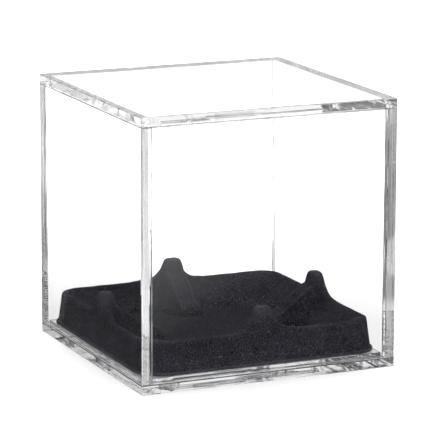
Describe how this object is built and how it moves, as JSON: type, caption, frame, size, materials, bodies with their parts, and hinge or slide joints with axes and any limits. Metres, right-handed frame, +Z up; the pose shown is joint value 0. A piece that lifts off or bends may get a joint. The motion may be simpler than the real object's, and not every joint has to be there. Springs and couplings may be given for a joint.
{
  "type": "acrylic display cube",
  "caption": "Clear acrylic display cube for a ball: a lift-off five-sided cover on a base plate, over a loose black flocked tray with mid-side prongs.",
  "frame": {"origin": "centre of the base plate's underside, on the surface that the cube stands on", "axes": "+X along the front panel towards the right panel, +Y from the front panel to the back panel, +Z up"},
  "size_m": [0.08, 0.08, 0.08],
  "materials": {
    "acrylic": "clear, polished faces and edges",
    "flock": "black flocked formed sheet, matt"
  },
  "bodies": {
    "base": {"base_plate": "acrylic", "locating_plate": "acrylic"},
    "tray": {"insert_tray": "flock"},
    "cover": {"front_panel": "acrylic", "back_panel": "acrylic", "left_panel": "acrylic", "right_panel": "acrylic", "top_panel": "acrylic"}
  },
  "joints": [
    {"name": "cover_lift", "type": "slide", "parent": "base", "child": "cover", "axis": [0, 0, 1], "range_m": [0, 0.08]},
    {"name": "tray_lift", "type": "slide", "parent": "base", "child": "tray", "axis": [0, 0, 1], "range_m": [0, 0.05]}
  ]
}
